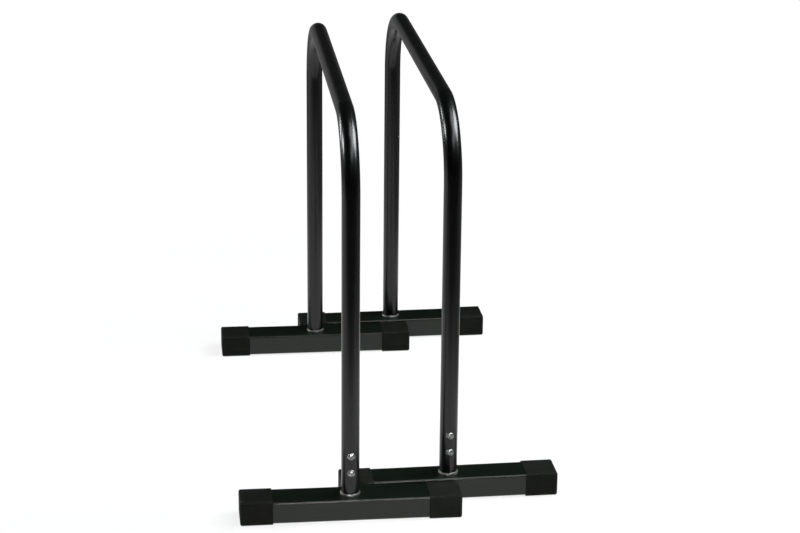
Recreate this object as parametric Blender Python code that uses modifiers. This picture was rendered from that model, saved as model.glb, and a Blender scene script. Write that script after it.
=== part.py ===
"""A pair of tall free-standing dip bars, as they stand side by side.

Each bar is one steel tube bent into a U, pushed over two short posts that are
welded to flat cross feet, and held by two button head bolts at each post.
Every foot end wears a rubber cap, and the bar stands on those caps.
Metres, +Z up, +Y away from the front. The origin is the middle of the pair on
the floor. The right bar stands behind and beside the left one, slightly turned.
"""

import math

import bmesh
import bpy
from mathutils import Matrix

for old in list(bpy.data.objects):
    bpy.data.objects.remove(old, do_unlink=True)

# Overall sizes of one bar
HEIGHT = 0.720
LEG_SPACING = 0.800
FOOT_LENGTH = 0.390

# Bent handle tube
TUBE_DIAMETER = 0.0318
TUBE_WALL = 0.0015
BEND_RADIUS = 0.125

# Cross foot, a rectangular tube that lies flat
FOOT_WIDTH = 0.060
FOOT_HEIGHT = 0.040
FOOT_WALL = 0.002
FOOT_CORNER = 0.004

# Rubber caps on the foot ends
CAP_LENGTH = 0.058
CAP_WALL = 0.0017
CAP_END = 0.003
CAP_ROUND = 0.005

# Post welded to the foot, inside the handle tube
POST_WALL = 0.002
POST_ABOVE_BOLTS = 0.030
WELD_WIDTH = 0.0035
WELD_HEIGHT = 0.004

# Button head bolts and the nuts inside the post
BOLT_COUNT = 2
BOLT_FIRST = 0.044
BOLT_PITCH = 0.032
BOLT_DIAMETER = 0.008
BOLT_LENGTH = 0.016
BOLT_CHAMFER = 0.0008
HEAD_DIAMETER = 0.014
HEAD_HEIGHT = 0.0044
HEAD_EDGE = 0.0008
SOCKET_WIDTH = 0.005
SOCKET_DEPTH = 0.0026
NUT_WIDTH = 0.013
NUT_HEIGHT = 0.0065

# How the two bars stand
BAR_SPACING = 0.182
STAND_GAP = 0.005
TURN = math.radians(1.2)

# Clearance between pieces that touch
FIT_GAP = 0.0003

# Number of facets
TUBE_SIDES = 24
BEND_STEPS = 10
BOLT_SIDES = 20
HEAD_STEPS = 4
ROUND_STEPS = 3

# Sizes that follow
TUBE_RADIUS = TUBE_DIAMETER / 2
POST_RADIUS = TUBE_RADIUS - TUBE_WALL - FIT_GAP
POST_BORE = POST_RADIUS - POST_WALL
POST_HEIGHT = BOLT_FIRST + (BOLT_COUNT - 1) * BOLT_PITCH + POST_ABOVE_BOLTS
CAP_WIDTH = FOOT_WIDTH + 2 * (CAP_WALL + FIT_GAP)
CAP_HEIGHT = FOOT_HEIGHT + 2 * (CAP_WALL + FIT_GAP)
FOOT_MIDDLE = CAP_HEIGHT / 2
FOOT_TOP = FOOT_MIDDLE + FOOT_HEIGHT / 2
BEAM_LENGTH = FOOT_LENGTH - 2 * (CAP_END + FIT_GAP)
TUBE_BOTTOM = FOOT_TOP + FIT_GAP + WELD_HEIGHT + FIT_GAP
HOLE_RADIUS = BOLT_DIAMETER / 2 + FIT_GAP
CUT_MARGIN = 0.010

pieces = bpy.data.collections.new("parallette_bars")
cutters = bpy.data.collections.new("cutters")
bpy.context.scene.collection.children.link(pieces)
bpy.context.scene.collection.children.link(cutters)


def material(name, colour, roughness, metallic):
    """A Principled material with one colour."""
    made = bpy.data.materials.new(name)
    made.use_nodes = True
    shader = made.node_tree.nodes["Principled BSDF"]
    shader.inputs["Base Color"].default_value = (*colour, 1.0)
    shader.inputs["Roughness"].default_value = roughness
    shader.inputs["Metallic"].default_value = metallic
    return made


GLOSS_BLACK = material("gloss_black", (0.010, 0.010, 0.010), 0.22, 0.0)
SATIN_BLACK = material("satin_black", (0.030, 0.033, 0.030), 0.45, 0.0)
BLACK_RUBBER = material("black_rubber", (0.012, 0.013, 0.011), 0.75, 0.0)
BRIGHT_STEEL = material("bright_steel", (0.55, 0.55, 0.56), 0.28, 1.0)
WELD_STEEL = material("weld_steel", (0.30, 0.30, 0.30), 0.35, 1.0)


def place(name, mesh, parent, location, turn, look):
    """Put a mesh into the pair as a named piece that rides on its bar."""
    made = bpy.data.objects.new(name, mesh)
    pieces.objects.link(made)
    made.parent = parent
    made.location = location
    made.rotation_euler = turn
    if look.name not in mesh.materials:
        mesh.materials.append(look)
    return made


def guide(name, mesh):
    """An object that only shapes others, kept out of the model."""
    made = bpy.data.objects.new(name, mesh)
    cutters.objects.link(made)
    made.hide_render = True
    made.display_type = "WIRE"
    return made


def settled(source, name):
    """The mesh of an object with its modifiers worked in."""
    bpy.context.view_layer.update()
    graph = bpy.context.evaluated_depsgraph_get()
    mesh = bpy.data.meshes.new_from_object(source.evaluated_get(graph))
    mesh.name = name
    return mesh


def shaded(mesh, angle=35.0):
    """Smooth faces, with sharp edges above the angle."""
    mesh.shade_smooth()
    mesh.set_sharp_from_angle(angle=math.radians(angle))
    return mesh


def cut(body, tool):
    """Take the tool's shape away from the body."""
    change = body.modifiers.new("cut_" + tool.name, "BOOLEAN")
    change.operation = "DIFFERENCE"
    change.solver = "EXACT"
    change.object = tool
    return change


def turned(name, profile, closed, sides):
    """A body turned about Z from (radius, height) points, top to bottom."""
    mesh = bpy.data.meshes.new(name)
    shape = bmesh.new()
    points = [shape.verts.new((radius, 0.0, height)) for radius, height in profile]
    for first, second in zip(points, points[1:]):
        shape.edges.new((first, second))
    if closed:
        shape.edges.new((points[-1], points[0]))
    shape.to_mesh(mesh)
    shape.free()
    source = guide(name + "_profile", mesh)
    turn = source.modifiers.new("turn", "SCREW")
    turn.axis = "Z"
    turn.steps = sides
    turn.render_steps = sides
    turn.use_merge_vertices = True
    turn.merge_threshold = 0.00001
    made = settled(source, name)
    bpy.data.objects.remove(source, do_unlink=True)
    return shaded(made)


def rounded_box(name, size, radius, edges_along_x_only):
    """A box about the origin with rounded long edges, or with all rounded."""
    mesh = bpy.data.meshes.new(name)
    shape = bmesh.new()
    bmesh.ops.create_cube(shape, size=1.0)
    bmesh.ops.scale(shape, vec=size, verts=shape.verts)
    edges = list(shape.edges)
    if edges_along_x_only:
        edges = [e for e in edges if abs(e.verts[0].co.x - e.verts[1].co.x) > size[0] / 2]
    bmesh.ops.bevel(shape, geom=edges, offset=radius, segments=ROUND_STEPS,
                    profile=0.5, affect="EDGES", clamp_overlap=True)
    shape.to_mesh(mesh)
    shape.free()
    return mesh


def prism(name, radius, depth, sides):
    """A prism or cylinder about the origin, along Z, with a corner at +Y."""
    mesh = bpy.data.meshes.new(name)
    shape = bmesh.new()
    bmesh.ops.create_cone(shape, cap_ends=True, segments=sides, radius1=radius,
                          radius2=radius, depth=depth)
    shape.to_mesh(mesh)
    shape.free()
    return mesh


def handle_path():
    """Centre line of the bent tube: up the front leg, back, down the rear."""
    top = HEIGHT - TUBE_RADIUS
    points = [(0.0, 0.0, TUBE_BOTTOM)]
    for step in range(BEND_STEPS + 1):
        angle = math.pi / 2 * step / BEND_STEPS
        y = BEND_RADIUS * (1 - math.cos(angle))
        z = top - BEND_RADIUS * (1 - math.sin(angle))
        points.append((0.0, y, z))
    for x, y, z in reversed(points[:]):
        points.append((x, LEG_SPACING - y, z))
    return points


def handle_mesh():
    """The bent tube as an open skin on its outer side."""
    path = bpy.data.curves.new("handle_path", "CURVE")
    path.dimensions = "3D"
    path.bevel_depth = TUBE_RADIUS
    path.bevel_resolution = TUBE_SIDES // 2 - 2
    path.use_fill_caps = False
    spline = path.splines.new("POLY")
    points = handle_path()
    spline.points.add(len(points) - 1)
    for point, place_at in zip(spline.points, points):
        point.co = (*place_at, 1.0)
    source = bpy.data.objects.new("handle_path", path)
    cutters.objects.link(source)
    made = settled(source, "handle_tube")
    bpy.data.objects.remove(source, do_unlink=True)
    shape = bmesh.new()
    shape.from_mesh(made)
    bmesh.ops.recalc_face_normals(shape, faces=shape.faces)
    shape.to_mesh(made)
    shape.free()
    return made


def beam_mesh():
    """The foot's rectangular tube with rounded corners, open at both ends."""
    mesh = rounded_box("foot_beam", (BEAM_LENGTH, FOOT_WIDTH, FOOT_HEIGHT), FOOT_CORNER, True)
    size = (BEAM_LENGTH + CUT_MARGIN, FOOT_WIDTH - 2 * FOOT_WALL, FOOT_HEIGHT - 2 * FOOT_WALL)
    corner = max(FOOT_CORNER - FOOT_WALL, FOOT_CORNER / 4)
    bore = rounded_box("beam_bore", size, corner, True)
    body = guide("beam_body", mesh)
    tool = guide("beam_bore", bore)
    cut(body, tool)
    made = settled(body, "foot_beam")
    bpy.data.objects.remove(body, do_unlink=True)
    return shaded(made)


def cap_mesh():
    """A rubber sleeve, closed at its +X end, which lies at X = 0."""
    mesh = rounded_box("cap_body", (CAP_LENGTH, CAP_WIDTH, CAP_HEIGHT), CAP_ROUND, False)
    mesh.transform(Matrix.Translation((-CAP_LENGTH / 2, 0.0, 0.0)))
    depth = CAP_LENGTH - CAP_END
    seat = (2 * depth, FOOT_WIDTH + 2 * FIT_GAP, FOOT_HEIGHT + 2 * FIT_GAP)
    bore = rounded_box("cap_seat", seat, FOOT_CORNER + FIT_GAP, True)
    bore.transform(Matrix.Translation((-CAP_LENGTH, 0.0, 0.0)))
    body = guide("cap_body", mesh)
    tool = guide("cap_seat", bore)
    cut(body, tool)
    made = settled(body, "foot_cap")
    bpy.data.objects.remove(body, do_unlink=True)
    return shaded(made)


def post_mesh():
    """The short post, a tube that starts at Z = 0."""
    profile = [(POST_RADIUS, POST_HEIGHT), (POST_RADIUS, 0.0), (POST_BORE, 0.0), (POST_BORE, POST_HEIGHT)]
    return turned("post", profile, True, TUBE_SIDES)


def weld_mesh():
    """A convex fillet bead round the foot of the post."""
    inside = POST_RADIUS + FIT_GAP
    profile = [
        (inside, WELD_HEIGHT),
        (inside + 0.45 * WELD_WIDTH, 0.86 * WELD_HEIGHT),
        (inside + 0.83 * WELD_WIDTH, 0.50 * WELD_HEIGHT),
        (inside + WELD_WIDTH, 0.0),
        (inside, 0.0),
    ]
    return turned("weld_bead", profile, True, TUBE_SIDES)


def bolt_mesh():
    """A button head bolt along Z, its head seat at Z = 0, with a hexagon socket."""
    half = HEAD_DIAMETER / 2
    rise = HEAD_HEIGHT - HEAD_EDGE
    ball = (half * half + rise * rise) / (2 * rise)
    reach = math.asin(min(half / ball, 1.0))
    profile = []
    for step in range(HEAD_STEPS + 1):
        angle = reach * step / HEAD_STEPS
        profile.append((ball * math.sin(angle), HEAD_HEIGHT - ball * (1 - math.cos(angle))))
    shank = BOLT_DIAMETER / 2
    profile.append((half, 0.0))
    profile.append((shank, 0.0))
    profile.append((shank, BOLT_CHAMFER - BOLT_LENGTH))
    profile.append((shank - BOLT_CHAMFER, -BOLT_LENGTH))
    profile.append((0.0, -BOLT_LENGTH))
    body = guide("bolt_body", turned("bolt_body", profile, False, BOLT_SIDES))
    socket = prism("socket", SOCKET_WIDTH / math.sqrt(3), 2 * SOCKET_DEPTH, 6)
    socket.transform(Matrix.Translation((0.0, 0.0, HEAD_HEIGHT)))
    tool = guide("socket", socket)
    cut(body, tool)
    made = settled(body, "bolt")
    bpy.data.objects.remove(body, do_unlink=True)
    return shaded(made)


def nut_mesh():
    """A hexagon nut along Z, its seat at Z = 0 and its body below."""
    hexagon = prism("nut_body", NUT_WIDTH / math.sqrt(3), NUT_HEIGHT, 6)
    hexagon.transform(Matrix.Translation((0.0, 0.0, -NUT_HEIGHT / 2)))
    body = guide("nut_body", hexagon)
    tool = guide("nut_bore", prism("nut_bore", HOLE_RADIUS, 4 * NUT_HEIGHT, BOLT_SIDES))
    cut(body, tool)
    made = settled(body, "nut")
    bpy.data.objects.remove(body, do_unlink=True)
    return shaded(made)


HANDLE = handle_mesh()
BEAM = beam_mesh()
CAP = cap_mesh()
POST = post_mesh()
WELD = weld_mesh()
BOLT = bolt_mesh()
NUT = nut_mesh()

LEGS = {"front": (0.0, -1), "rear": (LEG_SPACING, 1)}


def hole_cutter(name, parent, leg_y, side):
    """A row of cylinders from a leg's axis out through its outer wall."""
    reach = TUBE_RADIUS + CUT_MARGIN
    mesh = prism(name, HOLE_RADIUS, reach, BOLT_SIDES)
    mesh.transform(Matrix.Translation((0.0, 0.0, reach / 2)))
    tool = guide(name, mesh)
    tool.parent = parent
    tool.location = (0.0, leg_y, FOOT_TOP + BOLT_FIRST)
    tool.rotation_euler = (-side * math.pi / 2, 0.0, 0.0)
    row = tool.modifiers.new("row", "ARRAY")
    row.count = BOLT_COUNT
    row.use_relative_offset = False
    row.use_constant_offset = True
    row.constant_offset_displace = (0.0, -side * BOLT_PITCH, 0.0)
    return tool


def build_leg(bar, end, parent, caps):
    """One foot with its post, weld, bolts, nuts and two caps."""
    leg_y, side = LEGS[end]
    start = bar + "_" + end + "_"
    place(start + "foot_beam", BEAM, parent, (0.0, leg_y, FOOT_MIDDLE), (0, 0, 0), SATIN_BLACK)
    for cap_name, direction in caps:
        angle = 0.0 if direction > 0 else math.pi
        where = (direction * FOOT_LENGTH / 2, leg_y, FOOT_MIDDLE)
        place(start + cap_name, CAP, parent, where, (0, 0, angle), BLACK_RUBBER)
    base = FOOT_TOP + FIT_GAP
    post = place(start + "post", POST, parent, (0.0, leg_y, base), (0, 0, 0), GLOSS_BLACK)
    place(start + "weld_bead", WELD, parent, (0.0, leg_y, base), (0, 0, 0), WELD_STEEL)
    tool = hole_cutter(start + "bolt_holes", parent, leg_y, side)
    cut(post, tool)
    lean = (-side * math.pi / 2, 0.0, 0.0)
    bore = POST_BORE * math.cos(math.pi / TUBE_SIDES)
    nut_seat = math.sqrt(bore ** 2 - (NUT_WIDTH / 2) ** 2) - FIT_GAP
    head_at = leg_y + side * (TUBE_RADIUS + FIT_GAP)
    nut_at = leg_y + side * nut_seat
    for index in range(BOLT_COUNT):
        height = FOOT_TOP + BOLT_FIRST + index * BOLT_PITCH
        number = str(index + 1)
        place(start + "bolt_" + number, BOLT, parent, (0.0, head_at, height), lean, BRIGHT_STEEL)
        place(start + "nut_" + number, NUT, parent, (0.0, nut_at, height), lean, BRIGHT_STEEL)
    return tool


def build_bar(bar, location, turn, caps):
    """One whole bar about its front leg's axis on the floor."""
    parent = bpy.data.objects.new(bar + "_bar", None)
    pieces.objects.link(parent)
    parent.location = location
    parent.rotation_euler = (0.0, 0.0, turn)
    handle = place(bar + "_handle_tube", HANDLE, parent, (0, 0, 0), (0, 0, 0), GLOSS_BLACK)
    wall = handle.modifiers.new("wall", "SOLIDIFY")
    wall.thickness = TUBE_WALL
    wall.offset = -1.0
    wall.use_even_offset = True
    for end in LEGS:
        cut(handle, build_leg(bar, end, parent, caps))


def right_bar_offset():
    """Where the right bar's front leg stands, so that its feet clear the left bar's."""
    reach = FOOT_LENGTH / 2 - CAP_ROUND
    depth = CAP_WIDTH / 2 - CAP_ROUND
    nearest = reach * abs(math.sin(TURN)) + depth * math.cos(TURN) + CAP_ROUND
    return BAR_SPACING, CAP_WIDTH / 2 + STAND_GAP + nearest


def pair_middle(offset):
    """Middle of the rectangle that the feet of both bars fill on the floor."""
    reach = FOOT_LENGTH / 2 - CAP_ROUND
    depth = CAP_WIDTH / 2 - CAP_ROUND
    xs = []
    ys = []
    for turn, shift in ((0.0, (0.0, 0.0)), (TURN, offset)):
        for x in (-reach, reach):
            for y in (-depth, LEG_SPACING + depth):
                xs.append(shift[0] + x * math.cos(turn) - y * math.sin(turn))
                ys.append(shift[1] + x * math.sin(turn) + y * math.cos(turn))
    return (min(xs) + max(xs)) / 2, (min(ys) + max(ys)) / 2


offset = right_bar_offset()
middle = pair_middle(offset)
build_bar("left", (-middle[0], -middle[1], 0.0), 0.0, (("outer_cap", -1), ("inner_cap", 1)))
build_bar("right", (offset[0] - middle[0], offset[1] - middle[1], 0.0), TURN,
          (("inner_cap", -1), ("outer_cap", 1)))

bpy.context.view_layer.update()
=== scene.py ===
"""Looks of a pair of tall free-standing dip bars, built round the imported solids.

Metres, +Z up, +Y away from the front. Each bar is worked out about its front
leg's axis on the floor and then stood where its packed posts are.
"""

import math

import bpy
import numpy as np
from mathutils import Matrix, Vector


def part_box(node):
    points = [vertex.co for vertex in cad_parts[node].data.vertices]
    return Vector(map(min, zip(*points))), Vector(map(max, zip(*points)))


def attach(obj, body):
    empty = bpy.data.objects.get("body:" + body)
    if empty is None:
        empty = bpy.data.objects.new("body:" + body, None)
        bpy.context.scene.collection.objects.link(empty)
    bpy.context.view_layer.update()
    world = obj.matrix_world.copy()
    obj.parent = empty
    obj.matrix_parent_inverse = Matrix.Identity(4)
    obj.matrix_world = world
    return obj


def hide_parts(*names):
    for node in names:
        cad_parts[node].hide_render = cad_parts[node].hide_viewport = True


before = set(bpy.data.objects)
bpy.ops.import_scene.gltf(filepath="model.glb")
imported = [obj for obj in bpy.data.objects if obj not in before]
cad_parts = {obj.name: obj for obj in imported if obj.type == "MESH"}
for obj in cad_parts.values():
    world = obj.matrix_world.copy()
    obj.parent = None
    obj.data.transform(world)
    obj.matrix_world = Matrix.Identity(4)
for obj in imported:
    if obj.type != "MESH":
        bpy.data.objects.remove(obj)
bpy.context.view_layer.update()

# Bent handle tube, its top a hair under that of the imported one
HEIGHT = 0.71998
TUBE_RADIUS = 0.0159
TUBE_WALL = 0.0015
BEND_RADIUS = 0.125
TUBE_EDGE = 0.0003

# Clearance between pieces that touch
FIT_GAP = 0.0003

# Flat foot tube, half its width along Y and half its height. The length of the
# foot takes in both caps
FOOT_HALF = np.array((0.030, 0.020))
FOOT_LENGTH = 0.390
FOOT_WALL = 0.002
FOOT_CORNER = 0.004
FOOT_EDGE = 0.0003

# Rubber cap: a sleeve with a closed end, rounded corners, edge and lip
CAP_LENGTH = 0.058
CAP_WALL = 0.00168
CAP_HALF = FOOT_HALF + FIT_GAP + CAP_WALL
CAP_END = 0.003
CAP_ROUND = 0.005
CAP_EDGE = 0.0042
CAP_LIP = 0.0007
CAP_CROWN = 0.0006

# Weld bead round the post. Its width drifts by a share between two limits
POST_RADIUS = 0.0141
WELD_WIDTH = 0.0035
WELD_HEIGHT = 0.004
WELD_DRIFT = (0.03, 0.07)
WELD_SEEDS = {"left": 7, "right": 17}

# Scales of the bead: how many, how unevenly set, how far bent back along the
# section, how steep at the front, and how far they stand out and up
SCALES = 26
SCALE_SHUFFLE = 0.06
SCALE_BOW = 0.55
SCALE_FRONT = 8
SCALE_OUT, SCALE_UP = 0.16, 0.12

# Bolts: the lower one's height above the foot, the pitch, and how far each is
# turned, in radians, for its number, its end and its bar
BOLT_FIRST = 0.044
BOLT_PITCH = 0.032
NUMBER_TURN, END_TURN, BAR_TURN = 0.4, 1.1, 0.7

# Button head with a hexagon socket, whose corners lie 1.155 half widths out
HEAD_RADIUS = 0.007
HEAD_HEIGHT = 0.0044
HEAD_EDGE = 0.0008
HEAD_BREAK = 0.00025
SOCKET_HALF = 0.0025
SOCKET_CORNER = SOCKET_HALF * 1.155
SOCKET_DEPTH = 0.0026
SOCKET_BREAK = 0.00035

# Middle of the socket's broken edge: its way out and down as shares of the
# break, and how much of a hexagon it still is
MOUTH_OUT, MOUTH_DOWN, MOUTH_SIDED = 0.6, 0.1, 0.7

# Drilled point under the socket's floor: its depth, and rings of radius, depth
# and how much of a hexagon each is
DRILL_DEPTH = 0.0006
DRILL_RINGS = ((0.0006, 0.0004, 0.0), (SOCKET_HALF * 0.7, 0.0001, 0.5), (SOCKET_HALF, 0.0, 1.0))

# Shank, plain under the head and chamfered at its end, with a ring in the
# middle of the end face
SHANK_RADIUS = 0.004
SHANK_LENGTH = 0.016
SHANK_NECK = 0.0015
SHANK_CHAMFER = 0.0008
SHANK_MIDDLE = 0.0012
THREAD_PITCH = 0.00125
THREAD_DEPTH = 0.00035

# How finely each surface is drawn
TUBE_COLUMNS = 96
LEG_ROWS = 60
BEND_ROWS = 72
GRIP_ROWS = 40
FOOT_ROWS = 40
CORNER_STEPS = 10
FLAT_STEPS = 12
CAP_FACE_ROWS = 8
CAP_ROUND_ROWS = 8
CAP_SIDE_ROWS = 25
CAP_INSIDE_ROWS = 12
CAP_BOTTOM_ROWS = 5
WELD_COLUMNS = 312
WELD_ROWS = 15
BOLT_COLUMNS = 72
SOCKET_ROWS = 4
DOME_ROWS = 16
THREAD_ROWS = 110

# Innermost ring of the cap's end as a share of its size, and the outermost one
# of its inner bottom
CAP_MIDDLE, CAP_BOTTOM = 0.08, 0.8

# Distance between an edge and the ring that keeps it crisp
RING_STEP = 0.0001

# Angles in degrees from which an edge is drawn sharp
SHARP, WELD_SHARP, BOLT_SHARP = 40.0, 70.0, 32.0

FOOT_MIDDLE = float(CAP_HALF[1])
FOOT_TOP = FOOT_MIDDLE + float(FOOT_HALF[1])
TUBE_BOTTOM = FOOT_TOP + FIT_GAP + WELD_HEIGHT + FIT_GAP
BEAM_HALF_LENGTH = FOOT_LENGTH / 2 - CAP_END - FIT_GAP
BARS = ("left", "right")
ENDS = ("front", "rear")


# Shapes

def grid_faces(rows, columns, wrap_rows):
    """Four-sided faces between neighbours of a grid whose columns close on themselves."""
    starts = np.arange(rows if wrap_rows else rows - 1)
    r, c = np.meshgrid(starts, np.arange(columns), indexing="ij")
    below, beside = (r + 1) % rows, (c + 1) % columns
    corners = (r * columns + c, r * columns + beside,
               below * columns + beside, below * columns + c)
    return np.stack(corners, -1).reshape(-1, 4)


def pole_faces(ring_start, columns, pole):
    """Three-sided faces from one ring of a grid to a single point."""
    c = np.arange(columns)
    return np.stack((ring_start + (c + 1) % columns, ring_start + c, np.full(columns, pole)), -1)


def skin(name, grid, poles=None, sharp=SHARP, marks=None):
    """A closed mesh from a grid of points, ring after ring.

    With two poles the first and last rings close on them; without, the last ring
    joins the first. The faces are turned outwards by the sign of the volume, the
    sum over the faces of corner times edge cross edge. Marks are values kept
    with the points for the finish: one number or three for each.
    """
    rows, columns = grid.shape[:2]
    points = grid.reshape(-1, 3)
    quads = grid_faces(rows, columns, poles is None)
    triangles = np.concatenate((quads[:, (0, 1, 2)], quads[:, (0, 2, 3)]))
    fans = np.zeros((0, 3), int)
    if poles is not None:
        first, last = len(points), len(points) + 1
        points = np.concatenate((points, poles))
        near = pole_faces(0, columns, first)
        far = pole_faces((rows - 1) * columns, columns, last)[:, ::-1]
        fans = np.concatenate((near, far))
        triangles = np.concatenate((triangles, fans))
    a, b, c = (points[triangles[:, k]] for k in range(3))
    if np.einsum("ij,ij->i", a, np.cross(b, c)).sum() < 0:
        quads, fans = quads[:, ::-1], fans[:, ::-1]
    mesh = bpy.data.meshes.new(name)
    mesh.from_pydata(points, [], quads.tolist() + fans.tolist())
    mesh.shade_smooth()
    mesh.set_sharp_from_angle(angle=math.radians(sharp))
    for mark, values in (marks or {}).items():
        if values.ndim == 3:
            layer = mesh.attributes.new(mark, "FLOAT_VECTOR", "POINT")
            layer.data.foreach_set("vector", values.astype(np.float32).ravel())
        else:
            layer = mesh.attributes.new(mark, "FLOAT", "POINT")
            flat = np.zeros(len(points), np.float32)
            flat[:values.size] = values.ravel()
            layer.data.foreach_set("value", flat)
    mesh.validate()
    return mesh


def circle(columns):
    """Evenly spaced angles once round."""
    return np.arange(columns) / columns * 2 * math.pi


def round_z(radius, angle, height):
    """Points at a radius and an angle round Z, and at a height."""
    height = np.broadcast_to(height, radius.shape)
    return np.stack((radius * np.cos(angle), radius * np.sin(angle), height), -1)


def handle_path(spacing):
    """Centre line of the bent tube as (along Y, up Z) points and outward normals.

    Straight up the front leg, a quarter circle of the bend radius back, straight
    along the grip, and the same in mirror down the rear leg.
    """
    top = HEIGHT - TUBE_RADIUS
    low = top - BEND_RADIUS
    rise = np.linspace(TUBE_BOTTOM, low, LEG_ROWS)
    leg = np.stack((np.zeros(LEG_ROWS), rise, np.zeros(LEG_ROWS)), -1)
    turn = np.linspace(0.0, math.pi / 2, BEND_ROWS + 1)[1:]
    back, up = BEND_RADIUS * (1 - np.cos(turn)), low + BEND_RADIUS * np.sin(turn)
    bend = np.stack((back, up, turn), -1)
    run = np.linspace(BEND_RADIUS, spacing - BEND_RADIUS, GRIP_ROWS + 1)[1:-1]
    grip = np.stack((run, np.full(run.size, top), np.full(run.size, math.pi / 2)), -1)
    front = np.concatenate((leg, bend))
    rear = front[::-1] * (-1, 1, -1) + (spacing, 0, math.pi)
    y, z, angle = np.concatenate((front, grip, rear)).T
    return np.stack((y, z), -1), np.stack((-np.cos(angle), np.sin(angle)), -1)


def bent_tube(name, spacing):
    """The handle: a ring of TUBE_RADIUS carried along the path, and back inside the wall.

    Point = path + radius * (cos around * X + sin around * outward normal). The
    radius steps in by TUBE_EDGE at both ends, where the cut edge is broken.
    The mark "unbent" holds the same tube laid out straight, for the finish.
    """
    path, normal = handle_path(spacing)
    steps = np.hypot(*np.diff(path, axis=0).T)
    along = np.concatenate(([0.0], np.cumsum(steps)))
    outer = np.arange(len(path))
    order = np.concatenate((outer[:1], outer, outer[-1:], outer[::-1]))
    radius = np.full(order.size, TUBE_RADIUS)
    radius[0] = radius[len(path) + 1] = TUBE_RADIUS - TUBE_EDGE
    radius[len(path) + 2:] = TUBE_RADIUS - TUBE_WALL
    shift = np.zeros(order.size)
    shift[1] = shift[len(path)] = TUBE_EDGE
    centre, out = path[order], normal[order]
    around = circle(TUBE_COLUMNS)
    x, away = radius[:, None] * np.cos(around), radius[:, None] * np.sin(around)
    y = centre[:, :1] + away * out[:, :1]
    z = centre[:, 1:] + shift[:, None] + away * out[:, 1:]
    straight = np.broadcast_to(along[order][:, None], x.shape)
    marks = {"unbent": np.stack((x, away, straight), -1)}
    return skin(name, np.stack((x, y, z), -1), marks=marks)


def both(inset):
    """The same inset for half the width and half the height."""
    return np.repeat(inset[:, None], 2, 1)


def rounded_oblong(inset, corner, size):
    """Points of oblongs with rounded corners, one ring for each inset and corner.

    Half the size is size - inset. Each side is a straight run and each corner a
    quarter circle: the point is (half - corner) * (sign, sign) + corner * (cos,
    sin). The second result is 1 in the middle of a corner and 0 on the flats.
    """
    corner = corner[:, None]
    wide, high = size[0] - inset[:, :1], size[1] - inset[:, 1:]
    arc = np.linspace(0.0, math.pi / 2, CORNER_STEPS + 1)
    run = np.linspace(0.0, 1.0, FLAT_STEPS + 1)[1:-1]
    sides = []
    for turn in range(4):
        first, second = (wide, high) if turn % 2 == 0 else (high, wide)
        flat_u = (first - corner) * (1 - 2 * run)
        flat_v = np.broadcast_to(second, flat_u.shape)
        u = np.concatenate((first - corner + corner * np.cos(arc), flat_u), 1)
        v = np.concatenate((second - corner + corner * np.sin(arc), flat_v), 1)
        sides.append(np.stack(((u, v), (-v, u), (-u, -v), (v, -u))[turn], -1))
    near = np.concatenate((np.sin(2 * arc), np.zeros(run.size)))
    return np.concatenate(sides, 1), np.tile(near, (len(corner), 4))


def along_x(x, rings):
    """Rings of (Y, Z) points, each set at its X and lifted to the foot's middle."""
    x = np.broadcast_to(x[:, None, None], rings.shape[:2] + (1,))
    return np.concatenate((x, rings), -1) + (0, 0, FOOT_MIDDLE)


def foot_tube(name):
    """The foot: a rounded oblong carried along X, and back inside the wall."""
    end = BEAM_HALF_LENGTH
    run = np.linspace(-end + FOOT_EDGE, end - FOOT_EDGE, FOOT_ROWS)
    x = np.concatenate(([-end], run, [end, end, -end]))
    inset = np.concatenate(([FOOT_EDGE], np.zeros(FOOT_ROWS), [FOOT_EDGE, FOOT_WALL, FOOT_WALL]))
    rings, near = rounded_oblong(both(inset), FOOT_CORNER - inset, FOOT_HALF)
    worn = near * (inset < FOOT_WALL)[:, None]
    return skin(name, along_x(x, rings), marks={"corner": worn})


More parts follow.
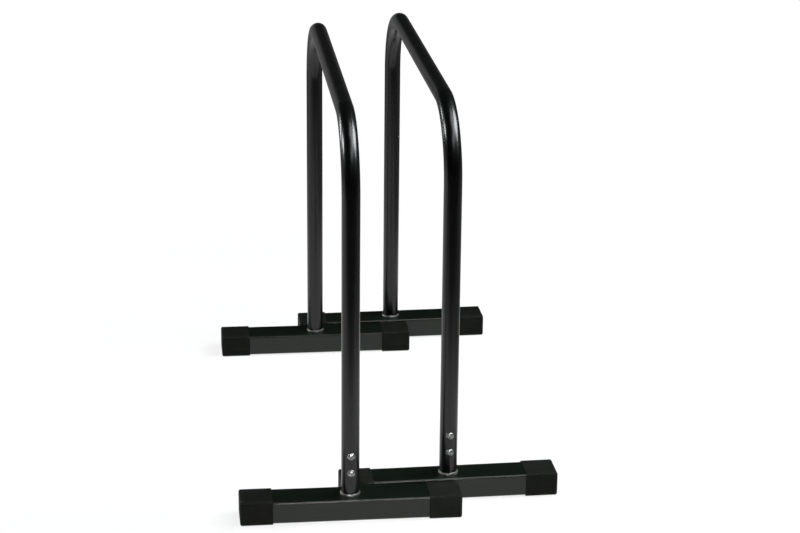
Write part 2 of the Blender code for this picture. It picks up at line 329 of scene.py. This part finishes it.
def rubber_cap(name):
    """The cap, its closed end at X = 0 and its mouth at X = -CAP_LENGTH.

    Rounded oblongs from the middle of the end outwards: the end face is crowned
    by CAP_CROWN times the square of the distance, its edge is a quarter circle
    of CAP_EDGE, the lip one of CAP_LIP, and then the same back inside.
    """
    sweep = np.linspace(0.0, math.pi / 2, CAP_ROUND_ROWS + 1)[1:]
    face = np.linspace(CAP_MIDDLE, 1.0, CAP_FACE_ROWS)
    side = np.linspace(CAP_EDGE, CAP_LENGTH - CAP_LIP, CAP_SIDE_ROWS + 1)[1:]
    inside = np.linspace(CAP_LENGTH, CAP_END, CAP_INSIDE_ROWS)
    bottom = np.linspace(CAP_BOTTOM, CAP_MIDDLE, CAP_BOTTOM_ROWS)
    edge, lip = CAP_EDGE * (1 - np.sin(sweep)), CAP_LIP * (1 - np.cos(sweep))
    flat, hollow = CAP_HALF - CAP_EDGE, CAP_HALF - CAP_WALL
    plan, seat = CAP_ROUND - CAP_EDGE, FOOT_CORNER + FIT_GAP
    rows = [
        (CAP_CROWN * face ** 2, CAP_HALF - flat * face[:, None], plan * face),
        (CAP_CROWN + (CAP_EDGE - CAP_CROWN) * (1 - np.cos(sweep)), both(edge), CAP_ROUND - edge),
        (side, np.zeros((side.size, 2)), np.full(side.size, CAP_ROUND)),
        (CAP_LENGTH - CAP_LIP * (1 - np.sin(sweep)), both(lip), CAP_ROUND - lip),
        (inside, np.full((inside.size, 2), CAP_WALL), np.full(inside.size, seat)),
        (np.full(bottom.size, CAP_END), CAP_HALF - hollow * bottom[:, None], seat * bottom),
    ]
    inward, inset, corner = (np.concatenate(column) for column in zip(*rows))
    rings, near = rounded_oblong(inset, corner, CAP_HALF)
    poles = np.array(((0, 0, FOOT_MIDDLE), (-CAP_END, 0, FOOT_MIDDLE)))
    outside = np.arange(inward.size) < inward.size - inside.size - bottom.size
    rounding = np.clip(1 - np.abs(inward - CAP_EDGE / 3) / CAP_EDGE, 0, 1)
    worn = np.maximum(near, rounding[:, None]) * outside[:, None]
    return skin(name, along_x(-inward, rings), poles, marks={"corner": worn})


def weld_bead(name, seed):
    """A hand-laid bead round the post: a convex fillet with overlapping scales.

    The fillet is a quarter ellipse from the post down to the foot. Its width
    drifts with three slow waves, and a saw wave round it, bent along the
    section, lifts the front of each scale.
    """
    draw = np.random.default_rng(seed)
    around = circle(WELD_COLUMNS)
    across = np.linspace(0.0, math.pi / 2, WELD_ROWS)[:, None]
    drift = 0.0
    for waves in (1, 2, 3):
        share = draw.uniform(*WELD_DRIFT)
        drift = drift + share * np.sin(waves * around + draw.uniform(0, 2 * math.pi))
    shuffle = SCALE_SHUFFLE * np.sin(3 * around + draw.uniform(0, 6))
    phase = SCALES * (around + shuffle) / (2 * math.pi)
    saw = (phase + SCALE_BOW * np.sin(across * 2)) % 1.0
    scale = np.sin(across * 2) * (0.5 - saw) * np.minimum(saw * SCALE_FRONT, 1.0)
    reach = WELD_WIDTH * (1 + drift) * (np.sin(across) + SCALE_OUT * scale)
    lift = WELD_HEIGHT * (np.cos(across) + SCALE_UP * scale)
    inner, foot = POST_RADIUS + FIT_GAP, FOOT_TOP + FIT_GAP
    base = np.ones((1, WELD_COLUMNS))
    radius = np.concatenate((inner + np.maximum(reach, 0), inner * base))
    height = np.concatenate((foot + np.clip(lift, 0, WELD_HEIGHT), foot * base))
    return skin(name, round_z(radius, around, height), sharp=WELD_SHARP)


def button_bolt(name, turn):
    """A button head bolt along Z, its head seat at Z = 0.

    Rings from the bottom of the socket, up its walls, over the dome, under the
    head and down the thread. A ring is a circle or, in the socket, a hexagon,
    whose radius is its half width over the cosine of the angle from the nearest
    flat. The dome is a sphere cap through the head's rim and top. The thread
    takes a triangle wave along a helix off the shank's radius.
    """
    around = circle(BOLT_COLUMNS)
    sixth = math.pi / 3
    hexagon = 1 / np.cos((around + sixth / 2) % sixth - sixth / 2)
    rise = HEAD_HEIGHT - HEAD_EDGE
    ball = (HEAD_RADIUS ** 2 + rise ** 2) / (2 * rise)
    dome = np.linspace(SOCKET_CORNER + SOCKET_BREAK, HEAD_RADIUS - HEAD_BREAK, DOME_ROWS)
    dome_height = HEAD_HEIGHT - ball + np.sqrt(ball ** 2 - dome ** 2)
    mouth = dome_height[0]
    floor = HEAD_HEIGHT - SOCKET_DEPTH
    drill, deep, drill_sided = np.transpose(DRILL_RINGS)
    walls = np.linspace(floor + RING_STEP, mouth - SOCKET_BREAK, SOCKET_ROWS)
    thread = np.linspace(-SHANK_NECK, -SHANK_LENGTH + SHANK_CHAMFER, THREAD_ROWS)
    # Radius, height and how much of a hexagon, for one ring or several
    rings = [
        (drill, floor - deep, drill_sided),
        (SOCKET_HALF, walls, 1.0),
        ([SOCKET_HALF + SOCKET_BREAK * MOUTH_OUT], mouth - SOCKET_BREAK * MOUTH_DOWN, MOUTH_SIDED),
        (dome, dome_height, 0.0),
        ([HEAD_RADIUS, HEAD_RADIUS], [HEAD_EDGE - HEAD_BREAK, HEAD_BREAK], 0.0),
        ([HEAD_RADIUS - HEAD_BREAK, SHANK_RADIUS + HEAD_BREAK], 0.0, 0.0),
        (SHANK_RADIUS, [-HEAD_BREAK, RING_STEP - SHANK_NECK], 0.0),
        (SHANK_RADIUS, thread, 0.0),
        ([SHANK_RADIUS - SHANK_CHAMFER, SHANK_MIDDLE], -SHANK_LENGTH, 0.0),
    ]
    rows = [np.broadcast_arrays(*ring) for ring in rings]
    radius, height, sided = (np.concatenate(column)[:, None] for column in zip(*rows))
    threaded = (height <= thread[0]) & (height >= thread[-1])
    helix = (height / THREAD_PITCH + around / (2 * math.pi)) % 1.0
    groove = THREAD_DEPTH * 2 * np.abs(helix - 0.5) * threaded
    reach = radius * (1 + sided * (hexagon - 1)) - groove
    poles = np.array(((0, 0, floor - DRILL_DEPTH), (0, 0, -SHANK_LENGTH)))
    return skin(name, round_z(reach, around + turn, height), poles, sharp=BOLT_SHARP)


# Finishes

# Colours, as shares of full light
GLOSS_DEEP, GLOSS_THIN = (0.0009, 0.0010, 0.0010), (0.0018, 0.0020, 0.0020)
GLOSS_DUST, GLOSS_RUBBED = (0.06, 0.06, 0.057), (0.030, 0.031, 0.032)
SATIN_DEEP, SATIN_THIN = (0.0006, 0.0030, 0.0009), (0.0016, 0.0046, 0.0020)
SATIN_SCUFFED, SATIN_RUBBED = (0.030, 0.033, 0.031), (0.050, 0.053, 0.050)
RUBBER_DEEP, RUBBER_THIN = (0.0026, 0.0034, 0.0022), (0.0044, 0.0054, 0.0038)
RUBBER_FLOW, RUBBER_CHALK = (0.0085, 0.0095, 0.0080), (0.030, 0.031, 0.028)
ZINC_DULL, ZINC_CLEAR, ZINC_PIT = (0.28, 0.282, 0.275), (0.40, 0.402, 0.39), (0.14, 0.14, 0.135)
WELD_CLEAR, WELD_FILM = (0.16, 0.16, 0.157), (0.035, 0.034, 0.032)

# Depths of the dents in each surface
GLOSS_DENT = 0.000003
SATIN_DENT = 0.00005
RUBBER_DENT = 0.00012
ZINC_DENT = 0.000008
WELD_DENT = 0.00006


class Wire:
    """One shader value. The signs of arithmetic add Math nodes to its tree."""

    def __init__(self, tree, socket):
        self.tree, self.socket = tree, socket

    def maths(self, operation, first, second):
        """One Math node on two wires or numbers."""
        node = self.tree.nodes.new("ShaderNodeMath")
        node.operation = operation
        plug(self.tree, node.inputs[0], first)
        plug(self.tree, node.inputs[1], second)
        return Wire(self.tree, node.outputs[0])

    def __add__(self, other):
        return self.maths("ADD", self, other)

    def __mul__(self, other):
        return self.maths("MULTIPLY", self, other)

    def __sub__(self, other):
        return self.maths("SUBTRACT", self, other)

    def __rsub__(self, other):
        return self.maths("SUBTRACT", other, self)

    def __pow__(self, other):
        return self.maths("POWER", self, other)

    __radd__, __rmul__ = __add__, __mul__

    def most(self, other):
        """The greater of two values."""
        return self.maths("MAXIMUM", self, other)

    def over(self, low, high):
        """0 below low and 1 above high, smooth between."""
        node = self.tree.nodes.new("ShaderNodeMapRange")
        node.interpolation_type = "SMOOTHSTEP"
        plug(self.tree, node.inputs["Value"], self)
        node.inputs["From Min"].default_value = low
        node.inputs["From Max"].default_value = high
        return Wire(self.tree, node.outputs["Result"])


def plug(tree, inlet, value):
    """Set a socket to a number or colour, or link it to a wire."""
    if isinstance(value, Wire):
        tree.links.new(value.socket, inlet)
    else:
        inlet.default_value = value


class Shop:
    """The node tree of one finish, floor or sky."""

    def __init__(self, owner):
        owner.use_nodes = True
        self.tree = owner.node_tree

    def node(self, kind, settings, values, outlet=0):
        """Any node: its settings first, then the values or wires of its sockets."""
        made = self.tree.nodes.new("ShaderNode" + kind)
        for name, value in settings.items():
            setattr(made, name, value)
        for name, value in values.items():
            plug(self.tree, made.inputs[name], value)
        return Wire(self.tree, made.outputs[outlet])

    def place(self):
        """Where a point is on its object."""
        return self.node("TexCoord", {}, {}, "Object")

    def mark(self, name, outlet="Fac"):
        """What a mesh keeps with its points under a name."""
        return self.node("Attribute", {"attribute_name": name}, {}, outlet)

    def noise(self, where, size, detail=2.0, rough=0.5):
        """Noise whose blotches are about size metres across."""
        values = {"Vector": where, "Scale": 1 / size, "Detail": detail, "Roughness": rough}
        return self.node("TexNoise", {}, values)

    def stretched(self, where, scale):
        """A place scaled by axis: a small share draws the pattern out that way."""
        return self.node("Mapping", {}, {"Vector": where, "Scale": scale})

    def blend(self, share, first, second):
        """A colour between two colours."""
        node = self.tree.nodes.new("ShaderNodeMix")
        node.data_type = "RGBA"
        colours = [inlet for inlet in node.inputs if inlet.type == "RGBA"]
        plug(self.tree, node.inputs[0], share)
        for inlet, colour in zip(colours, (first, second)):
            plug(self.tree, inlet, colour if isinstance(colour, Wire) else (*colour, 1.0))
        return Wire(self.tree, next(out for out in node.outputs if out.type == "RGBA"))

    def dent(self, height, depth):
        """A surface normal from heights between 0 and 1, depth metres deep."""
        return self.node("Bump", {}, {"Height": height, "Distance": depth, "Strength": 1.0})


def finish(name):
    """A new material, its shop and its Principled shader."""
    made = bpy.data.materials.new(name)
    shop = Shop(made)
    return made, shop, shop.tree.nodes["Principled BSDF"]


def coat(shop, shader, values):
    """Set sockets of the Principled shader."""
    for name, value in values.items():
        plug(shop.tree, shader.inputs[name], value)


def gloss_black(name, unbent):
    """Gloss black powder coat: orange peel, slow unevenness, dust and fine rub marks."""
    made, shop, shader = finish(name)
    where = shop.mark("unbent", "Vector") if unbent else shop.place()
    peel = shop.noise(where, size=0.0028, detail=1.5)
    slow = shop.noise(where, size=0.035, detail=3.0)
    specks = shop.noise(where, size=0.0007, rough=0.7).over(0.66, 0.74)
    dust = specks * shop.noise(where, size=0.02).over(0.45, 0.7)
    rubs = shop.noise(shop.stretched(where, (1.0, 1.0, 0.06)), size=0.0011).over(0.67, 0.74)
    worn = rubs * shop.noise(where, size=0.06).over(0.52, 0.68)
    tone = shop.blend(slow.over(0.3, 0.7), GLOSS_DEEP, GLOSS_THIN)
    tone = shop.blend(dust * 0.08, tone, GLOSS_DUST)
    coat(shop, shader, {
        "Base Color": shop.blend(worn * 0.2, tone, GLOSS_RUBBED),
        "Roughness": 0.22 + 0.06 * slow + 0.03 * dust + 0.04 * worn,
        "IOR": 1.47,
        "Normal": shop.dent(peel + 0.5 * slow, GLOSS_DENT),
    })
    return made


def satin_black(name):
    """Satin black powder coat: fine grain, handling marks and rubbed corners."""
    made, shop, shader = finish(name)
    where = shop.place()
    grain = shop.noise(where, size=0.0009)
    slow = shop.noise(where, size=0.05, detail=3.0)
    scuffs = shop.noise(shop.stretched(where, (0.07, 1.0, 1.0)), size=0.0016, detail=3.0)
    handled = scuffs.over(0.66, 0.75) * shop.noise(where, size=0.045).over(0.5, 0.66)
    patches = shop.noise(where, size=0.006, detail=4.0, rough=0.65).over(0.42, 0.72)
    rubbed = shop.mark("corner") ** 3.0 * patches
    tone = shop.blend(slow.over(0.3, 0.7), SATIN_DEEP, SATIN_THIN)
    tone = shop.blend(handled * 0.25, tone, SATIN_SCUFFED)
    coat(shop, shader, {
        "Base Color": shop.blend(rubbed * 0.35, tone, SATIN_RUBBED),
        "Roughness": 0.27 + 0.08 * slow + 0.05 * grain - 0.05 * rubbed,
        "IOR": 1.46,
        "Normal": shop.dent(grain, SATIN_DENT),
    })
    return made


def cap_rubber(name):
    """Matt black rubber: moulded grain, faint flow streaks, chalky scuffs at the corners."""
    made, shop, shader = finish(name)
    where = shop.place()
    grain = shop.noise(where, size=0.0008, detail=3.0, rough=0.6)
    flow = shop.noise(shop.stretched(where, (0.10, 1.0, 1.0)), size=0.0030)
    slow = shop.noise(where, size=0.025, detail=3.0)
    patches = shop.noise(where, size=0.004, detail=4.0, rough=0.7).over(0.45, 0.75)
    chalk = shop.mark("corner") * patches
    tone = shop.blend(slow.over(0.3, 0.7), RUBBER_DEEP, RUBBER_THIN)
    tone = shop.blend(flow.over(0.52, 0.72) * 0.5, tone, RUBBER_FLOW)
    coat(shop, shader, {
        "Base Color": shop.blend(chalk * 0.3, tone, RUBBER_CHALK),
        "Roughness": 0.62 + 0.12 * slow + 0.10 * grain - 0.05 * flow,
        "IOR": 1.5,
        "Specular IOR Level": 0.13,
        "Normal": shop.dent(grain + 0.6 * flow, RUBBER_DENT),
    })
    return made


def zinc_steel(name):
    """Zinc plated steel: cloudy plating with small dull pits."""
    made, shop, shader = finish(name)
    where = shop.place()
    cloud = shop.noise(where, size=0.0025, detail=4.0, rough=0.6)
    pits = shop.noise(where, size=0.00035).over(0.62, 0.75)
    tone = shop.blend(cloud.over(0.35, 0.7), ZINC_DULL, ZINC_CLEAR)
    coat(shop, shader, {
        "Base Color": shop.blend(pits * 0.6, tone, ZINC_PIT),
        "Metallic": 1.0 - 0.1 * pits,
        "Roughness": 0.26 + 0.12 * cloud + 0.2 * pits,
        "Normal": shop.dent(cloud + 0.5 * pits, ZINC_DENT),
    })
    return made


def weld_metal(name):
    """Lacquered weld: clear metal with patches of dark film, finely grained."""
    made, shop, shader = finish(name)
    where = shop.place()
    film = shop.noise(where, size=0.0028, detail=4.0, rough=0.6).over(0.42, 0.66)
    fine = shop.noise(where, size=0.0005, detail=3.0)
    coat(shop, shader, {
        "Base Color": shop.blend(film, WELD_CLEAR, WELD_FILM),
        "Metallic": 0.85 - 0.35 * film,
        "Roughness": 0.28 + 0.20 * film + 0.10 * fine,
        "Normal": shop.dent(fine, WELD_DENT),
    })
    return made


TUBE_COAT = gloss_black("gloss_black_tube", True)
POST_COAT = gloss_black("gloss_black_post", False)
FOOT_COAT = satin_black("satin_black_foot")
RUBBER = cap_rubber("matt_black_rubber")
ZINC = zinc_steel("zinc_plated_steel")
WELD = weld_metal("lacquered_weld")


# Putting the pieces in place

def middle(node):
    """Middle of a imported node's box, across and along the floor."""
    low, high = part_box(node)
    return np.array(((low.x + high.x) / 2, (low.y + high.y) / 2))


def points_of(mesh):
    """A mesh's points, one row each."""
    points = np.empty(len(mesh.vertices) * 3, np.float32)
    mesh.vertices.foreach_get("co", points)
    return points.reshape(-1, 3)


def turned(mesh, axis, angle):
    """Turn a mesh about X or Z through the origin.

    Of the other two coordinates, the first becomes first * cos - second * sin
    and the second becomes first * sin + second * cos.
    """
    cos, sin = math.cos(angle), math.sin(angle)
    first, second = {"X": (1, 2), "Z": (0, 1)}[axis]
    points = points_of(mesh)
    a, b = points[:, first].copy(), points[:, second].copy()
    points[:, first], points[:, second] = a * cos - b * sin, a * sin + b * cos
    mesh.vertices.foreach_set("co", points.ravel())
    return mesh


def moved(mesh, by):
    """Shift a mesh by adding the same three numbers to every point."""
    points = points_of(mesh) + np.asarray(by, np.float32)
    mesh.vertices.foreach_set("co", points.ravel())
    mesh.update()
    return mesh


def stand(mesh, foot, turn):
    """Turn a mesh with its bar and move it to the bar's front leg."""
    return moved(turned(mesh, "Z", turn), (foot[0], foot[1], 0.0))


def fit(name, mesh, bar, node, look):
    """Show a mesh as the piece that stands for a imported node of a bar."""
    mesh.materials.append(look)
    made = bpy.data.objects.new(name, mesh)
    bpy.context.scene.collection.objects.link(made)
    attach(made, bar + "_bar")
    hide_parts(node)


def dress(bar):
    """All the shown pieces of one bar."""
    foot, rear = middle(bar + "_front_post"), middle(bar + "_rear_post")
    reach = rear - foot
    spacing, turn = float(np.hypot(*reach)), math.atan2(-reach[0], reach[1])
    tube = stand(bent_tube(bar + "_bent_tube", spacing), foot, turn)
    fit(bar + "_bent_tube", tube, bar, bar + "_handle_tube", TUBE_COAT)
    outer = {"left": -1, "right": 1}[bar]
    for index, end in enumerate(ENDS):
        start = bar + "_" + end + "_"
        leg_y, side = (0.0, -1) if end == "front" else (spacing, 1)
        beam = stand(moved(foot_tube(start + "foot_tube"), (0, leg_y, 0)), foot, turn)
        fit(start + "foot_tube", beam, bar, start + "foot_beam", FOOT_COAT)
        for cap, way in (("outer_cap", outer), ("inner_cap", -outer)):
            rubber = turned(rubber_cap(start + cap), "Z", 0.0 if way > 0 else math.pi)
            rubber = stand(moved(rubber, (way * FOOT_LENGTH / 2, leg_y, 0)), foot, turn)
            fit(start + "rubber_" + cap, rubber, bar, start + cap, RUBBER)
        bead = weld_bead(start + "weld", WELD_SEEDS[bar] + index)
        bead = stand(moved(bead, (0, leg_y, 0)), foot, turn)
        fit(start + "weld", bead, bar, start + "weld_bead", WELD)
        seat = leg_y + side * (TUBE_RADIUS + FIT_GAP)
        for number in (1, 2):
            spin = NUMBER_TURN * number + END_TURN * index + BAR_TURN * BARS.index(bar)
            height = FOOT_TOP + BOLT_FIRST + (number - 1) * BOLT_PITCH
            bolt = turned(button_bolt(start + "bolt", spin), "X", -side * math.pi / 2)
            bolt = stand(moved(bolt, (0, seat, height)), foot, turn)
            node = start + "bolt_%d" % number
            fit(start + "button_bolt_%d" % number, bolt, bar, node, ZINC)


for bar in BARS:
    dress(bar)

# Posts and nuts, which nothing shows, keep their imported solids
for name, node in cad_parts.items():
    if "_post" in name or "_nut_" in name:
        for place in node.material_slots:
            place.material = POST_COAT if "_post" in name else ZINC


# Floor, sky, lamps and camera

FLOOR_HALF = 30.0
FLOOR_DROP = 0.0004
FLOOR_WHITE = 0.95

# The floor's shadow: its share, and the distances over which it fades
SHADOW_SHARE, SHADOW_NEAR, SHADOW_FAR = 0.22, 0.55, 1.4

# The paper in reflections: where it starts in front, where it gets darker on
# each side and the level there, and how much darker it is all over
PAPER_FRONT = (-1.28, -0.88)
PAPER_RIGHT, PAPER_RIGHT_LEVEL = (0.50, 0.78), 0.23
PAPER_LEFT, PAPER_LEFT_LEVEL = (0.50, 1.00), 0.78
PAPER_BACK, PAPER_BACK_LEVEL = (0.70, 1.50), 0.20
PAPER_DARK = 0.06

# The room: where its light part ends upwards, how that edge tilts, and where
# it starts behind the bars
SKY_EDGE, SKY_TILT, SKY_FRONT = (0.03, 0.12), 0.25, (-0.45, 0.05)
SKY_LIGHT, SKY_DARK = 0.20, 0.02

# Colours of the lamps, and where they look
WHITE, COOL_WHITE, DAY_WHITE = (1.0, 1.0, 1.0), (0.93, 0.97, 1.0), (0.95, 0.98, 1.0)
BARS_MIDDLE = (0.0, 0.0, HEIGHT / 2)
BOLTS_MIDDLE = (0.0, -0.42, 0.06)

# Camera, its turn in degrees, its lens and film in millimetres
CAMERA_PLACE = (-0.4267, -4.0554, 1.7426)
CAMERA_TURN = (70.5903, -0.5455, -6.4158)
CAMERA_LENS, CAMERA_FILM = 102.57, 36.0


def rays(shop):
    """1 for a ray of each kind, else 0: from the camera, mirrored, through a clear body."""
    outs = shop.node("LightPath", {}, {}).socket.node.outputs
    kinds = ("Is Camera Ray", "Is Glossy Ray", "Is Transmission Ray")
    return (Wire(shop.tree, outs[kind]) for kind in kinds)


def lay_floor():
    """A wide white floor that keeps the shadow.

    In reflections it is white paper that ends in front of the bars and is less
    lit to the left and least at the back and to the right.
    """
    mesh = bpy.data.meshes.new("floor")
    signs = ((-1, -1), (1, -1), (1, 1), (-1, 1))
    corners = [(x * FLOOR_HALF, y * FLOOR_HALF, -FLOOR_DROP) for x, y in signs]
    mesh.from_pydata(corners, [], [(0, 1, 2, 3)])
    floor = bpy.data.objects.new("floor", mesh)
    bpy.context.scene.collection.objects.link(floor)
    made = bpy.data.materials.new("white_floor")
    mesh.materials.append(made)
    shop = Shop(made)
    shop.tree.nodes.clear()
    camera, mirrored, clear = rays(shop)
    shown = camera.most(mirrored.most(clear))
    place = shop.place()
    x, y = (shop.node("SeparateXYZ", {}, {"Vector": place}, axis) for axis in "XY")
    right = 1 - x.over(*PAPER_RIGHT) * (1 - PAPER_RIGHT_LEVEL)
    left = 1 - (x * -1).over(*PAPER_LEFT) * (1 - PAPER_LEFT_LEVEL)
    behind = 1 - y.over(*PAPER_BACK) * (1 - PAPER_BACK_LEVEL)
    dim = mirrored * (1 - y.over(*PAPER_FRONT) * right * left * behind) * (1 - PAPER_DARK)
    away = shop.node("VectorMath", {"operation": "LENGTH"}, {"Vector": place}, "Value")
    shaded = (1 - away.over(SHADOW_NEAR, SHADOW_FAR)) * (1 - mirrored) * SHADOW_SHARE
    matt = shop.node("BsdfDiffuse", {}, {"Color": (FLOOR_WHITE,) * 3 + (1.0,)})
    glow = shop.node("Emission", {}, {"Color": WHITE + (1.0,), "Strength": 1 - dim})
    mixed = shop.node("MixShader", {}, {0: shown * (1 - shaded), 1: matt, 2: glow})
    out = shop.tree.nodes.new("ShaderNodeOutputMaterial")
    plug(shop.tree, out.inputs["Surface"], mixed)


def hang_sky():
    """A dark room, lighter low down behind the bars and higher up on their left."""
    world = bpy.data.worlds.new("studio")
    bpy.context.scene.world = world
    shop = Shop(world)
    back = shop.tree.nodes["Background"]
    way = shop.node("TexCoord", {}, {}, "Generated")
    x, y, z = (shop.node("SeparateXYZ", {}, {"Vector": way}, axis) for axis in "XYZ")
    light = (1 - (z + x * SKY_TILT).over(*SKY_EDGE)) * y.over(*SKY_FRONT)
    plug(shop.tree, back.inputs["Color"], shop.blend(light, (SKY_DARK,) * 3, (SKY_LIGHT,) * 3))


def softbox(name, azimuth, elevation, distance, size, level, colour=WHITE, aim=BARS_MIDDLE,
            grid=None):
    """A flat lamp that looks at the bars.

    Azimuth is from the front, to the right. At its aim a white card that faces
    it has the brightness level, so its power is level * pi squared * distance
    squared. A grid keeps its light within that angle of its middle, and takes
    the power times 1 - grid / tan(grid).
    """
    data = bpy.data.lights.new(name, "AREA")
    data.shape, (data.size, data.size_y) = "RECTANGLE", size
    data.energy, data.color = level * (math.pi * distance) ** 2, colour
    if grid:
        data.spread = 2 * math.radians(grid)
        data.energy *= 1 - math.radians(grid) / math.tan(math.radians(grid))
    made = bpy.data.objects.new(name, data)
    bpy.context.scene.collection.objects.link(made)
    turn, tilt = math.radians(azimuth), math.radians(elevation)
    made.location = (aim[0] + distance * math.sin(turn) * math.cos(tilt),
                     aim[1] - distance * math.cos(turn) * math.cos(tilt),
                     aim[2] + distance * math.sin(tilt))
    made.rotation_euler = (math.pi / 2 - tilt, 0.0, turn)
    made.visible_camera = False


def set_camera():
    """The camera worked out from the edges of the legs and feet in the picture."""
    data = bpy.data.cameras.new("camera")
    data.sensor_width, data.lens = CAMERA_FILM, CAMERA_LENS
    made = bpy.data.objects.new("camera", data)
    bpy.context.scene.collection.objects.link(made)
    made.location = CAMERA_PLACE
    made.rotation_euler = tuple(math.radians(angle) for angle in CAMERA_TURN)
    bpy.context.scene.camera = made


lay_floor()
hang_sky()
softbox("front_box", azimuth=-3.0, elevation=31.0, distance=3.2, size=(0.5, 0.4), level=1.4,
        aim=BOLTS_MIDDLE, grid=6.0)
softbox("right_box", azimuth=87.0, elevation=43.5, distance=2.4, size=(1.3, 1.0), level=1.15,
        colour=COOL_WHITE)
softbox("right_fill", azimuth=42.0, elevation=51.0, distance=2.4, size=(2.2, 0.6), level=0.24,
        colour=COOL_WHITE)
softbox("left_window", azimuth=-123.0, elevation=18.0, distance=2.4, size=(0.4, 0.8), level=0.26,
        colour=DAY_WHITE)
softbox("left_fill", azimuth=-94.0, elevation=29.0, distance=2.4, size=(0.4, 0.5), level=0.42,
        colour=DAY_WHITE)
softbox("top_box", azimuth=62.0, elevation=66.0, distance=3.0, size=(1.5, 1.5), level=0.32)
set_camera()
bpy.context.scene.view_settings.view_transform = "Standard"

bpy.context.view_layer.update()
